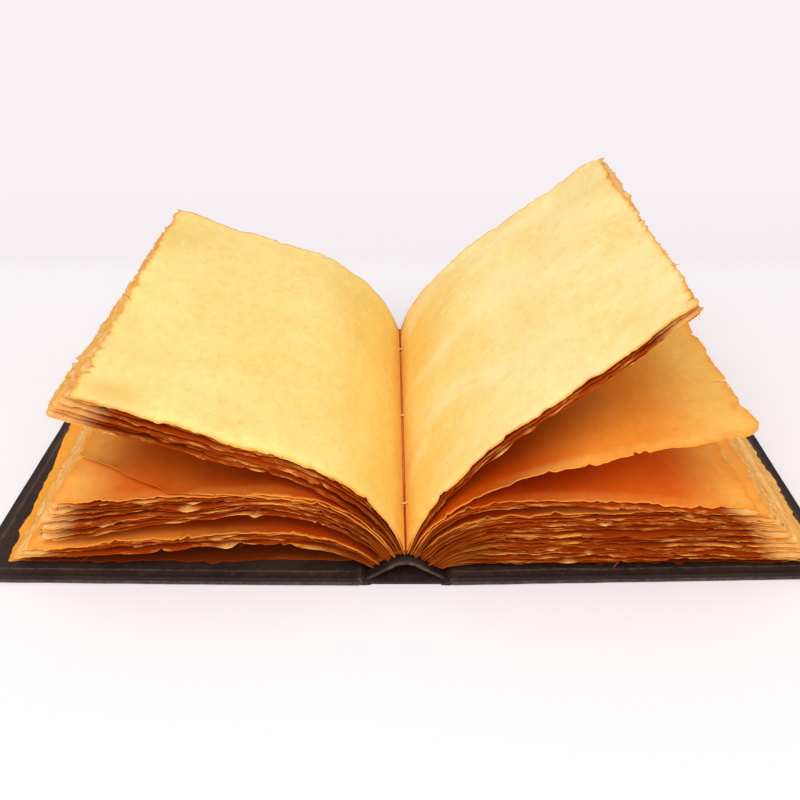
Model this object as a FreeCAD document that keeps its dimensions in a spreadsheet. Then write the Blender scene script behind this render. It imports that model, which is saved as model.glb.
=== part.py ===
"""An open case-bound notebook of handmade paper, lying on its covers.

Frame: millimetres, X across the open book, Y along the spine with the tail edge at -Y,
+Z up. The origin is on the table, under the middle of the spine.

The case is leather over two boards. Its spine strip lies flat on the table, and a second
strip, the liner, arches up from the hinges and carries the text block on its back.
The text block is one solid: leaves with torn edges, fanned into the groups that lie open
and joined at their folds. The front cover is on the left (-X), the back cover on the right.
Each cover turns on the leather at its inner edge, along a line parallel to Y.
"""

import FreeCAD, Part

import math
import os

import Sketcher
from FreeCAD import Placement, Rotation, Vector

SIZES = [
    # name, value in millimetres or degrees (or a formula), what it is
    ("page_long", 178.0, "leaf, head to tail"),
    ("page_wide", 120.0, "leaf, fold to fore-edge"),
    ("end_square", 5.0, "cover beyond the leaves at head and tail"),
    ("fore_square", 10.4, "cover beyond the leaves at the fore-edge"),
    ("cover_long", "=page_long + 2 * end_square", "cover, head to tail"),
    ("cover_wide", "=page_wide + fore_square", "hinge line to fore-edge of a cover"),
    ("board_thick", 1.6, "thickness of a cover board"),
    ("leather_thick", 0.7, "thickness of the leather on the covers"),
    ("turn_in", 14.0, "width of leather folded over on to a board's inner face"),
    ("corner_round", 2.0, "radius of a cover's outer corners"),
    ("edge_round", 0.5, "radius on the edges of the wrapped covers"),
    ("hinge_half", 14.0, "middle of the spine to a hinge line"),
    ("joint_width", 1.2, "hinge line to the inner end of a cover"),
    ("joint_clear", 0.3, "clearance round the rounded edge of the spine strip"),
    ("strip_thick", 0.8, "thickness of the flat spine strip"),
    ("liner_thick", 1.2, "thickness of the arched liner"),
    ("arch_radius", 8.0, "radius under the top of the arch"),
    ("foot_radius", 4.0, "radius under the fold where the arch meets the strip"),
    ("arch_slope", 31.0, "slope of the arch's two sides"),
    ("fold_clear", 0.2, "folds of the leaves clear of the liner"),
    ("fold_depth", 4.1, "depth of the joined folds"),
    ("leaf_thick", 0.55, "a single leaf"),
    ("torn_depth", 1.1, "how far a torn edge strays to either side"),
    ("leaf_uneven", 0.8, "how much the leaves differ in length at one end"),
    ("paste_thick", 0.4, "endpaper glued inside a cover"),
    ("paste_inset", 6.0, "endpaper short of the cover's edges"),
    ("page_clear", 0.3, "lowest leaves clear of the endpaper"),
    ("lost_tail", 38.0, "missing corner of one leaf, along its tail edge"),
    ("lost_fore", 27.0, "missing corner of one leaf, along its fore-edge"),
    ("thread_radius", 0.35, "radius of the sewing thread"),
    ("thread_clear", 0.05, "thread clear of the fold that it lies in"),
    ("thread_dip", 2.4, "how far the thread's ends go down through the fold"),
    ("hole_clear", 0.15, "sewing holes wider than the thread, each side"),
    ("stitch_long", 126.0, "first to last sewing hole"),
]

doc = FreeCAD.newDocument("open_notebook")
sheet = doc.addObject("Spreadsheet::Sheet", "Sizes")
for row, (name, value, meaning) in enumerate(SIZES, start=1):
    sheet.set(f"A{row}", name)
    sheet.setAlias(f"B{row}", name)
    sheet.set(f"B{row}", str(value))
    sheet.set(f"C{row}", meaning)
doc.recompute()
size = {name: float(sheet.get(name)) for name, _, _ in SIZES}

COVER_THICK = "2 * Sizes.leather_thick + Sizes.board_thick"
INNER_END = "Sizes.hinge_half + Sizes.joint_width"
OUTER_END = "Sizes.hinge_half + Sizes.cover_wide"

cover_thick = 2 * size["leather_thick"] + size["board_thick"]
inner_end = size["hinge_half"] + size["joint_width"]
outer_end = size["hinge_half"] + size["cover_wide"]
slope = math.radians(size["arch_slope"])
TINY = 0.001


def origin_plane(body, role):
    return next(plane for plane in body.Origin.OriginFeatures if plane.Role == role)


def new_sketch(body, name, role, lift=None):
    """A sketch on one of the body's own planes, lifted along its normal by an expression."""
    sketch = body.newObject("Sketcher::SketchObject", name)
    sketch.AttachmentSupport = (origin_plane(body, role), [""])
    sketch.MapMode = "FlatFace"
    if lift:
        sketch.setExpression("AttachmentOffset.Base.z", lift)
    return sketch


def rectangle(sketch, low_x, high_x, half_y):
    """A rectangle from low_x to high_x, as far above the x axis as below it."""
    corners = [Vector(10, -10, 0), Vector(20, -10, 0), Vector(20, 10, 0), Vector(10, 10, 0)]
    for start, end in zip(corners, corners[1:] + corners[:1]):
        sketch.addGeometry(Part.LineSegment(start, end))
    for edge in range(4):
        sketch.addConstraint(Sketcher.Constraint("Coincident", edge, 2, (edge + 1) % 4, 1))
    for edge, direction in enumerate(("Horizontal", "Vertical", "Horizontal", "Vertical")):
        sketch.addConstraint(Sketcher.Constraint(direction, edge))
    distances = [
        (Sketcher.Constraint("DistanceX", -1, 1, 0, 1, 10.0), low_x),
        (Sketcher.Constraint("DistanceX", -1, 1, 1, 1, 20.0), high_x),
        (Sketcher.Constraint("DistanceY", 0, 1, -1, 1, 10.0), half_y),
        (Sketcher.Constraint("DistanceY", -1, 1, 3, 1, 10.0), half_y),
    ]
    for constraint, expression in distances:
        index = sketch.addConstraint(constraint)
        sketch.setExpression(f"Constraints[{index}]", expression)


def fixed_outline(sketch, curves):
    """Adds a closed run of lines and arcs, held where they are."""
    for number, curve in enumerate(curves):
        sketch.addGeometry(curve)
        sketch.addConstraint(Sketcher.Constraint("Block", number))


def padded(body, name, sketch, expression, midplane=False, reverse=False):
    pad = body.newObject("PartDesign::Pad", name)
    pad.Profile = sketch
    pad.Midplane = midplane
    pad.Reversed = reverse
    pad.setExpression("Length", expression)
    return pad


def pocketed(body, name, sketch, expression):
    """A pocket that cuts upward from its sketch."""
    pocket = body.newObject("PartDesign::Pocket", name)
    pocket.Profile = sketch
    pocket.Reversed = True
    pocket.setExpression("Length", expression)
    return pocket


def on_its_side(body, side):
    """A cover's pieces are drawn for the back cover, and the front one's are turned half round."""
    if side == "front":
        body.Placement = Placement(Vector(), Rotation(Vector(0, 0, 1), 180))
    return body


# Cover leather: wraps the board, folds over its edges, and runs on towards the spine
def cover_leather(side):
    body = doc.addObject("PartDesign::Body", f"{side}_cover_leather")
    outline = new_sketch(body, f"{side}_cover_outline", "XY_Plane")
    rectangle(outline, INNER_END, OUTER_END, "Sizes.cover_long / 2")
    block = padded(body, f"{side}_cover_block", outline, COVER_THICK)
    doc.recompute()

    upright = [
        f"Edge{number}"
        for number, edge in enumerate(block.Shape.Edges, start=1)
        if edge.BoundBox.XMin > outer_end - TINY and edge.BoundBox.YLength < TINY
    ]
    corners = body.newObject("PartDesign::Fillet", f"{side}_cover_corners")
    corners.Base = (block, upright)
    corners.setExpression("Radius", "Sizes.corner_round")
    doc.recompute()

    rim = [
        f"Edge{number}"
        for number, edge in enumerate(corners.Shape.Edges, start=1)
        if edge.BoundBox.ZLength < TINY and edge.BoundBox.XMax > inner_end + TINY
    ]
    edges = body.newObject("PartDesign::Fillet", f"{side}_cover_edges")
    edges.Base = (corners, rim)
    edges.setExpression("Radius", "Sizes.edge_round")

    tongue = new_sketch(body, f"{side}_tongue_outline", "XY_Plane")
    rectangle(
        tongue,
        "Sizes.hinge_half + Sizes.strip_thick / 2 + Sizes.joint_clear",
        f"{INNER_END} + Sizes.leather_thick",
        "Sizes.cover_long / 2",
    )
    padded(body, f"{side}_tongue", tongue, "Sizes.leather_thick")

    bed = new_sketch(body, f"{side}_board_bed_outline", "XY_Plane", "Sizes.leather_thick")
    rectangle(
        bed,
        f"{INNER_END} + Sizes.leather_thick",
        f"{OUTER_END} - Sizes.leather_thick",
        "Sizes.cover_long / 2 - Sizes.leather_thick",
    )
    pocketed(body, f"{side}_board_bed", bed, "Sizes.board_thick")

    window = new_sketch(
        body, f"{side}_turn_in_outline", "XY_Plane", "Sizes.leather_thick + Sizes.board_thick"
    )
    rectangle(
        window,
        f"{INNER_END} + Sizes.turn_in",
        f"{OUTER_END} - Sizes.turn_in",
        "Sizes.cover_long / 2 - Sizes.turn_in",
    )
    pocketed(body, f"{side}_turn_in_window", window, "Sizes.leather_thick")
    return on_its_side(body, side)


def cover_board(side):
    body = doc.addObject("PartDesign::Body", f"{side}_board")
    outline = new_sketch(body, f"{side}_board_outline", "XY_Plane", "Sizes.leather_thick")
    rectangle(
        outline,
        f"{INNER_END} + Sizes.leather_thick",
        f"{OUTER_END} - Sizes.leather_thick",
        "Sizes.cover_long / 2 - Sizes.leather_thick",
    )
    padded(body, f"{side}_board_plate", outline, "Sizes.board_thick")
    return on_its_side(body, side)


def stray(along, seed):
    """How far a torn edge strays from its line, between about -1 and 1, at a place along it."""
    return (
        math.sin(along / 9.0 + 2.4 * seed)
        + 0.6 * math.sin(along / 4.1 + 1.7 * seed * seed)
        + 0.4 * math.sin(along / 2.3 + 5.1 * seed)
    ) / 2.0


def torn_outline(inner, outer, half_long, seed, lost_tail=0.0, lost_fore=0.0):
    """Points round a sheet that is straight along x = inner and torn along its other edges.

    lost_tail and lost_fore are the two sides of a missing corner.
    """
    cuts_x, cuts_y = 10, 14
    depth = size["torn_depth"]
    tail_end = outer - lost_tail
    fore_start = lost_fore - half_long
    points = []
    for step in range(cuts_x + 1):
        x = inner + (tail_end - inner) * step / cuts_x
        points.append((x, -half_long + depth * stray(x, seed)))
    for step in range(0 if lost_fore else 1, cuts_y):
        y = fore_start + (half_long - fore_start) * step / cuts_y
        points.append((outer + depth * stray(y, seed + 3), y))
    for step in range(cuts_x + 1):
        x = outer + (inner - outer) * step / cuts_x
        points.append((x, half_long + depth * stray(x, seed + 7)))
    return [Vector(x, y, 0) for x, y in points]


# Endpaper: glued over the turned-in leather, and down on to the board inside it
def pastedown(side):
    body = doc.addObject("PartDesign::Body", f"{side}_pastedown")
    torn = new_sketch(body, f"{side}_pastedown_outline", "XY_Plane", COVER_THICK)
    ring = torn_outline(
        inner_end + size["joint_width"],
        outer_end - size["paste_inset"],
        size["cover_long"] / 2 - size["paste_inset"],
        seed=11 if side == "front" else 13,
    )
    fixed_outline(torn, [Part.LineSegment(*ends) for ends in zip(ring, ring[1:] + ring[:1])])
    padded(body, f"{side}_pastedown_sheet", torn, "Sizes.paste_thick")

    window = new_sketch(body, f"{side}_pastedown_window", "XY_Plane", COVER_THICK)
    rectangle(
        window,
        f"{INNER_END} + Sizes.turn_in",
        f"{OUTER_END} - Sizes.turn_in",
        "Sizes.cover_long / 2 - Sizes.turn_in",
    )
    padded(body, f"{side}_pastedown_sunk", window, "Sizes.leather_thick", reverse=True)
    return on_its_side(body, side)


# Spine strip: flat on the table, its two edges rounded about the hinge lines
def spine_strip():
    body = doc.addObject("PartDesign::Body", "spine_leather")
    radius = size["strip_thick"] / 2
    half = size["hinge_half"]
    up = Vector(0, 0, 1)
    profile = new_sketch(body, "strip_profile", "XZ_Plane")
    fixed_outline(
        profile,
        [
            Part.LineSegment(Vector(-half, 0, 0), Vector(half, 0, 0)),
            Part.ArcOfCircle(
                Part.Circle(Vector(half, radius, 0), up, radius), -math.pi / 2, math.pi / 2
            ),
            Part.LineSegment(Vector(half, 2 * radius, 0), Vector(-half, 2 * radius, 0)),
            Part.ArcOfCircle(
                Part.Circle(Vector(-half, radius, 0), up, radius), math.pi / 2, 3 * math.pi / 2
            ),
        ],
    )
    padded(body, "strip", profile, "Sizes.cover_long", midplane=True)
    return body


# The arch: a round top, two straight sides, and round feet that end level on the strip.
# Every layer of it is at some height above the arch's underside.
feet_apart = (size["arch_radius"] + size["foot_radius"]) * math.sin(slope)
side_long = (size["hinge_half"] - feet_apart) / math.cos(slope)
arch_centre = (
    size["strip_thick"]
    + (size["arch_radius"] + size["foot_radius"]) * (1 - 1 / math.cos(slope))
    + size["hinge_half"] * math.tan(slope)
    - size["arch_radius"]
)


def arch_point(height, along):
    """Point of the arch's right half, at a height above its underside and a distance from the top."""
    radius = size["arch_radius"] + height
    turn = min(along / radius, slope)
    rest = max(0.0, along - radius * slope)
    x = radius * math.sin(turn) + rest * math.cos(slope)
    z = arch_centre + radius * math.cos(turn) - rest * math.sin(slope)
    return x, z


def arch_long(height):
    """Distance from the top of the arch to the lower end of its straight side."""
    return (size["arch_radius"] + height) * slope + side_long


def arch_top(height):
    return arch_centre + size["arch_radius"] + height


def spine_liner():
    body = doc.addObject("PartDesign::Body", "spine_liner")
    profile = new_sketch(body, "liner_profile", "XZ_Plane")
    up = Vector(0, 0, 1)
    centre = Vector(0, arch_centre, 0)
    foot_centre = Vector(size["hinge_half"], size["strip_thick"] + size["foot_radius"], 0)
    curves = []
    for height in (0.0, size["liner_thick"]):
        radius = size["arch_radius"] + height
        top = Part.Circle(centre, up, radius)
        foot = Part.Circle(foot_centre, up, size["foot_radius"] - height)
        start = Vector(*arch_point(height, radius * slope), 0)
        end = Vector(*arch_point(height, arch_long(height)), 0)
        curves.append(Part.ArcOfCircle(top, math.pi / 2 - slope, math.pi / 2))
        curves.append(Part.LineSegment(start, end))
        curves.append(Part.ArcOfCircle(foot, 3 * math.pi / 2 - slope, 3 * math.pi / 2))
    for x, bottom in ((0.0, arch_top(0.0)), (size["hinge_half"], size["strip_thick"])):
        curves.append(
            Part.LineSegment(Vector(x, bottom, 0), Vector(x, bottom + size["liner_thick"], 0))
        )
    fixed_outline(profile, curves)
    half = padded(body, "liner_half", profile, "Sizes.cover_long", midplane=True)
    both = body.newObject("PartDesign::Mirrored", "liner_both_halves")
    both.Originals = [half]
    both.MirrorPlane = (origin_plane(body, "YZ_Plane"), [""])
    body.Tip = both
    return body


# How the leaves lie: key leaves, from the opening down to each cover.
# place: where its fold is along the arch, from 0 at the top to 1 at the end of the side
# lift: height gained in the bend; bend: radius of the bend; tilt: slope of the rest, degrees
# extra: how much further than page_wide it reaches
KEY_LEAVES = {
    "left_open": dict(place=-0.02, lift=39.0, bend=70.0, tilt=17.0, extra=4.5),
    "left_open_last": dict(place=0.17, lift=34.0, bend=93.0, tilt=15.5, extra=3.5),
    "left_rest": dict(place=0.23, lift=22.5, bend=61.0, tilt=-2.2, extra=-3.0),
    "left_rest_last": dict(place=0.62, lift=18.5, bend=38.0, tilt=-7.8, extra=0.0),
    "left_low": dict(place=0.72, lift=11.0, bend=32.5, tilt=-3.8, extra=-0.5),
    "left_low_last": dict(place=0.92, lift=8.3, bend=38.0, tilt=-3.4, extra=4.0),
    "right_open": dict(place=0.00, lift=39.0, bend=92.0, tilt=40.0, extra=2.5),
    "right_open_last": dict(place=0.10, lift=39.5, bend=110.0, tilt=39.5, extra=0.0),
    "right_single": dict(place=0.16, lift=29.0, bend=62.5, tilt=14.4, extra=-1.0),
    "right_rest": dict(place=0.22, lift=22.0, bend=49.5, tilt=-4.3, extra=-3.5),
    "right_rest_last": dict(place=0.28, lift=20.6, bend=47.0, tilt=-4.3, extra=-2.5),
    "right_block": dict(place=0.34, lift=15.1, bend=45.0, tilt=-0.9, extra=-2.0),
    "right_block_last": dict(place=0.94, lift=0.3, bend=36.0, tilt=0.6, extra=3.0),
}

# side, first and last key leaf, how many single leaves they and those between them are
SINGLE_LEAVES = [
    (-1, "left_open", "left_open_last", 4),
    (-1, "left_rest", "left_rest_last", 6),
    (-1, "left_low", "left_low_last", 3),
    (1, "right_open", "right_open_last", 3),
    (1, "right_single", "right_single", 1),
    (1, "right_rest", "right_rest_last", 2),
]

# The closed part of the block: packs of a few leaves that lie as one, with a gap under each
PACKS = 9
PACK_FILL = 0.72

fold_low = size["liner_thick"] + size["fold_clear"]
fold_high = fold_low + size["fold_depth"]
rest_level = cover_thick + size["paste_thick"] + size["page_clear"]
OVERRUN = 6.0


def between(first, last, share):
    low, high = KEY_LEAVES[first], KEY_LEAVES[last]
    return {key: low[key] + (high[key] - low[key]) * share for key in low}


def leaf_curve(side, leaf, above_rest, offset=0.0):
    """A leaf's line across the spine: out of its fold, round the bend, then straight.

    above_rest keeps its fold off the cover, and offset moves the line to the leaf's underside.
    Gives its two edges, its ends, and how far from the spine's middle the leaf reaches.
    """
    middle = (fold_low + fold_high) / 2
    x, z = arch_point(middle, leaf["place"] * arch_long(middle))
    z = max(z, rest_level + above_rest)
    bend = leaf["bend"]
    tilt = math.radians(leaf["tilt"])
    start = max(math.acos(math.cos(tilt) - leaf["lift"] / bend), tilt + math.radians(1))
    centre_x = x + bend * math.sin(start)
    centre_z = z - bend * math.cos(start)
    radius = bend - offset

    def on_bend(lean):
        return Vector(
            side * (centre_x - radius * math.sin(lean)), 0, centre_z + radius * math.cos(lean)
        )

    straight = size["page_wide"] + leaf["extra"] - bend * (start - tilt)
    run = Vector(side * math.cos(tilt), 0, math.sin(tilt))
    first, mid, last = on_bend(start), on_bend((start + tilt) / 2), on_bend(tilt)
    far_end = last + run * (straight + OVERRUN)
    edges = [Part.Arc(first, mid, last).toShape(), Part.LineSegment(last, far_end).toShape()]
    reach = abs(far_end.x) - OVERRUN * math.cos(tilt)
    return edges, (first, far_end), reach


def leaf_solid(side, top, under, seed, lost_tail=0.0, lost_fore=0.0):
    """A bent sheet between two leaf lines, cut to a torn outline seen from above."""
    (top_edges, top_ends, reach), (under_edges, under_ends, _) = top, under
    closing = [Part.LineSegment(*ends).toShape() for ends in zip(top_ends, under_ends)]
    section = Part.Face(Part.Wire(Part.__sortEdges__(top_edges + under_edges + closing)))
    half_long = size["page_long"] / 2
    stock = half_long + 2 * size["torn_depth"]
    section.translate(Vector(0, -stock, 0))
    bent = section.extrude(Vector(0, 2 * stock, 0))
    own_half = half_long - size["leaf_uneven"] * (1 + stray(7 * seed, 2)) / 2
    ring = [
        Vector(side * point.x, point.y, 0)
        for point in torn_outline(-1.0, reach, own_half, seed, lost_tail, lost_fore)
    ]
    outline = Part.Face(Part.makePolygon(ring + ring[:1]))
    height = 2 * size["page_wide"]
    outline.translate(Vector(0, 0, -height / 2))
    return bent.common(outline.extrude(Vector(0, 0, 2 * height)))


def single_leaf(side, leaf, seed, *lost):
    thick = size["leaf_thick"]
    top = leaf_curve(side, leaf, thick)
    return leaf_solid(side, top, leaf_curve(side, leaf, thick, offset=thick), seed, *lost)


def pack(number, seed):
    top, under = (
        between("right_block", "right_block_last", share / PACKS) for share in (number, number + PACK_FILL)
    )
    return leaf_solid(
        1, leaf_curve(1, top, 2 * size["leaf_thick"]), leaf_curve(1, under, 0.0), seed
    )


def joined_folds():
    """The folds of the leaves, closed up against each other over the arch."""
    half_long = size["page_long"] / 2 - size["torn_depth"]
    halves = []
    for side in (-1, 1):

        def corner(height, along):
            x, z = arch_point(height, along)
            return Vector(side * x, -half_long, z)

        edges = []
        for height in (fold_low, fold_high):
            turned = (size["arch_radius"] + height) * slope
            top, middle, start = (corner(height, turned * share) for share in (0, 0.5, 1))
            edges.append(Part.Arc(top, middle, start).toShape())
            edges.append(Part.LineSegment(start, corner(height, arch_long(height))).toShape())
        for share in (0, 1):
            low, high = (corner(height, share * arch_long(height)) for height in (fold_low, fold_high))
            edges.append(Part.LineSegment(low, high).toShape())
        face = Part.Face(Part.Wire(Part.__sortEdges__(edges)))
        halves.append(face.extrude(Vector(0, 2 * half_long, 0)))
    return halves[0].fuse(halves[1])


def stitch_ends():
    return [-size["stitch_long"] / 2, size["stitch_long"] / 2]


def pages():
    solids = [joined_folds()]
    for side, first, last, count in SINGLE_LEAVES:
        for number in range(count):
            leaf = between(first, last, number / max(count - 1, 1))
            lost = (size["lost_tail"], size["lost_fore"]) if (first, number) == ("left_rest", 0) else ()
            solids.append(single_leaf(side, leaf, len(solids), *lost))
    for number in range(PACKS):
        solids.append(pack(number, len(solids)))
    block = solids[0].multiFuse(solids[1:])
    hole_radius = size["thread_radius"] + size["hole_clear"]
    for y in stitch_ends():
        foot = Vector(0, y, arch_top(fold_low) - TINY)
        block = block.cut(Part.makeCylinder(hole_radius, 2 * size["fold_depth"], foot))
    feature = doc.addObject("Part::Feature", "pages")
    feature.Shape = block.removeSplitter()
    return feature


# Sewing thread: along the middle of the open fold, and down through it at both ends
def sewing_thread():
    radius = size["thread_radius"]
    level = arch_top(fold_high) + size["thread_clear"] + radius
    turn = 2 * radius
    low_y, high_y = stitch_ends()
    shift = turn * (1 - math.cos(math.pi / 4))
    points = [
        Vector(0, low_y, level - size["thread_dip"]),
        Vector(0, low_y, level - turn),
        Vector(0, low_y + shift, level - shift),
        Vector(0, low_y + turn, level),
        Vector(0, high_y - turn, level),
        Vector(0, high_y - shift, level - shift),
        Vector(0, high_y, level - turn),
        Vector(0, high_y, level - size["thread_dip"]),
    ]
    path = Part.Wire(
        [
            Part.LineSegment(points[0], points[1]).toShape(),
            Part.Arc(points[1], points[2], points[3]).toShape(),
            Part.LineSegment(points[3], points[4]).toShape(),
            Part.Arc(points[4], points[5], points[6]).toShape(),
            Part.LineSegment(points[6], points[7]).toShape(),
        ]
    )
    section = Part.Wire(Part.makeCircle(radius, points[0], Vector(0, 0, 1)))
    feature = doc.addObject("Part::Feature", "sewing_thread")
    feature.Shape = path.makePipeShell([section], True, False)
    return feature


pieces = [make(side) for side in ("front", "back") for make in (cover_leather, cover_board, pastedown)]
pieces += [spine_strip(), spine_liner(), pages(), sewing_thread()]
doc.recompute()

for item in doc.Objects:
    if "Invalid" in item.State or "Error" in item.State:
        raise RuntimeError(f"{item.Name} failed: {item.State}")
for piece in pieces:
    if piece.Shape.isNull() or not piece.Shape.isValid():
        raise RuntimeError(f"{piece.Label} has no valid shape")

os.makedirs("parts", exist_ok=True)
for piece in pieces:
    piece.Shape.exportStep(f"parts/{piece.Label}.step")
    print(f"{piece.Label}: {len(piece.Shape.Solids)} solid, {piece.Shape.Volume:.0f} mm3")
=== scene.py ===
"""The open notebook: handmade, torn-edged leaves in a worn leather case."""

import math

import bpy
import numpy as np
from mathutils import Euler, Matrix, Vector


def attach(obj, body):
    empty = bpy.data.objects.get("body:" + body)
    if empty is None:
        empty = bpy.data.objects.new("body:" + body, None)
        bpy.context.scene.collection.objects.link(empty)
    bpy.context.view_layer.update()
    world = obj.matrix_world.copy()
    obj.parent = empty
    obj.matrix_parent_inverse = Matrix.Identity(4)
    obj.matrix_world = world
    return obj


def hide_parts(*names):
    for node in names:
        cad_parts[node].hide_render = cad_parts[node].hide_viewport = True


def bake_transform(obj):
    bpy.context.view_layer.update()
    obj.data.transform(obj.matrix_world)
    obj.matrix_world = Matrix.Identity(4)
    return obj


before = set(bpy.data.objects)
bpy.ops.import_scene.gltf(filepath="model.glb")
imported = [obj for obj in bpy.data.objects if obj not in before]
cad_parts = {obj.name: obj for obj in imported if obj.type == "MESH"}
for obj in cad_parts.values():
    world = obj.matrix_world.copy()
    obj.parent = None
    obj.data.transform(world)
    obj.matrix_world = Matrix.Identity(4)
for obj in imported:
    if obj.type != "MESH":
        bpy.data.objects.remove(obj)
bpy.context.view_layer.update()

MM = 0.001

# The photograph's camera, in mm and degrees
FOCAL_PIXELS = 966.0
FRAME_PIXELS = 800
SENSOR = 36.0
EYE = (-1.5, -344.6, 205.6)
PITCH_DOWN = 28.5
YAW = 0.104

# The same sizes as the solids', in mm
PAGE_LONG, PAGE_WIDE = 178.0, 120.0
COVER_THICK = 3.0
COVER_INNER, COVER_OUTER, COVER_HALF_LONG = 15.2, 144.4, 94.0
HINGE_HALF = 14.0
HINGE_HEIGHT = 0.4
ARCH_RADIUS, ARCH_CENTRE, ARCH_SIDE = 8.0, -0.788, 9.12
ARCH_SLOPE = math.radians(31)
LINER_THICK = 1.2
FOLD_LOW, FOLD_MIDDLE = 1.55, 3.45
REST_LEVEL = 3.75

# place: share of the way down the arch; lift, bend and tilt: how far the leaf rises out of its
# fold, the radius of its bend and its slope beyond it; droop: how far its outer half sinks;
# extra: its width over the mean
KEY_LEAVES = {
    "left_open": dict(place=0.012, lift=39.0, bend=70.0, tilt=17.0, droop=0.0, extra=1.6),
    "left_open_last": dict(place=0.17, lift=34.0, bend=93.0, tilt=15.5, droop=0.0, extra=2.4),
    "left_rest": dict(place=0.24, lift=22.5, bend=52.0, tilt=-0.8, droop=1.9, extra=-3.0),
    "left_rest_last": dict(place=0.5, lift=15.5, bend=60.0, tilt=-6.4, droop=3.8, extra=0.0),
    "left_low": dict(place=0.67, lift=10.6, bend=57.0, tilt=-3.7, droop=3.1, extra=-1.0),
    "left_low_last": dict(place=0.86, lift=7.2, bend=70.0, tilt=-5.2, droop=0.0, extra=3.0),
    "right_open": dict(place=0.012, lift=39.0, bend=92.0, tilt=40.0, droop=0.0, extra=2.5),
    "right_open_last": dict(place=0.07, lift=38.2, bend=106.0, tilt=39.4, droop=0.0, extra=0.0),
    "right_single": dict(place=0.11, lift=28.1, bend=56.0, tilt=14.2, droop=2.4, extra=0.9),
    "right_rest": dict(place=0.18, lift=20.5, bend=36.6, tilt=-3.3, droop=0.9, extra=-2.5),
    "right_rest_last": dict(place=0.24, lift=19.3, bend=37.0, tilt=-3.3, droop=0.9, extra=-1.5),
    "right_block": dict(place=0.31, lift=15.7, bend=50.0, tilt=-0.5, droop=0.8, extra=-2.0),
    "right_block_last": dict(place=0.94, lift=0.3, bend=36.0, tilt=0.6, droop=0.0, extra=3.5),
}
# name, side, first and last key leaf, leaves, far end's rise and skew over the near end's
GROUPS = [
    ("leaves_left_open", -1, "left_open", "left_open_last", 6, 2.0, -0.5),
    ("leaves_left_rest", -1, "left_rest", "left_rest_last", 12, 0.0, 4.0),
    ("leaves_left_low", -1, "left_low", "left_low_last", 7, 0.0, 5.0),
    ("leaves_right_open", 1, "right_open", "right_open_last", 4, -2.3, 0.0),
    ("leaves_right_single", 1, "right_single", "right_single", 1, 0.0, 0.0),
    ("leaves_right_rest", 1, "right_rest", "right_rest_last", 3, 0.0, 0.0),
    ("leaves_right_block", 1, "right_block", "right_block_last", 29, 0.0, 0.0),
]
# what sets a few of the leaves apart: corners cut or rounded, a slit, and stained places,
# each as distance from the fold, place along the spine, and its two radii
OWN = {
    ("leaves_left_open", 0): dict(
        round_tail=1.5, round_head=0.6, skew=4.0, marks=[(110, -80, 13, 9)]
    ),
    ("leaves_left_rest", 0): dict(lost=(38.0, 27.0)),
    ("leaves_left_rest", 1): dict(shown=True, round_tail=3.0),
    ("leaves_right_open", 0): dict(round_tail=3.0, torn_head=(9.0, 6.0), marks=[(120, -84, 3, 5)]),
    ("leaves_right_open", 1): dict(wider_head=2.6, marks=[(121, 70, 4, 25)]),
    ("leaves_right_single", 0): dict(
        round_tail=7.0, round_head=2.0, slit=(-51.0, 5.5),
        marks=[(113, -49, 6, 2.2), (118, -70, 2, 6), (112, -86, 8, 2), (70, -20, 2, 1.5)],
    ),
}
# where a group's tail edges are turned down: distance from the fold, reach and depth
TURNED = {"leaves_left_open": [(62, 46, 2.2)]}
LEAF_THICK = 0.36


def smooth(x):
    x = np.clip(x, 0.0, 1.0)
    return x * x * (3 - 2 * x)


def new_object(name, points, faces, smooth_faces=True):
    mesh = bpy.data.meshes.new(name)
    mesh.from_pydata([tuple(p) for p in np.asarray(points) * MM], [], faces)
    mesh.polygons.foreach_set("use_smooth", [smooth_faces] * len(mesh.polygons))
    mesh.validate()
    obj = bpy.data.objects.new(name, mesh)
    bpy.context.scene.collection.objects.link(obj)
    return obj


# ---- camera, floor and lights ----

camera_data = bpy.data.cameras.new("camera")
camera_data.sensor_width = SENSOR
camera_data.lens = FOCAL_PIXELS / FRAME_PIXELS * SENSOR
camera_data.clip_start = 0.01
camera = bpy.data.objects.new("camera", camera_data)
camera.location = Vector(EYE) * MM
camera.rotation_euler = Euler((math.radians(90 - PITCH_DOWN), 0, math.radians(YAW)))
bpy.context.scene.collection.objects.link(camera)
bpy.context.scene.camera = camera


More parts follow.
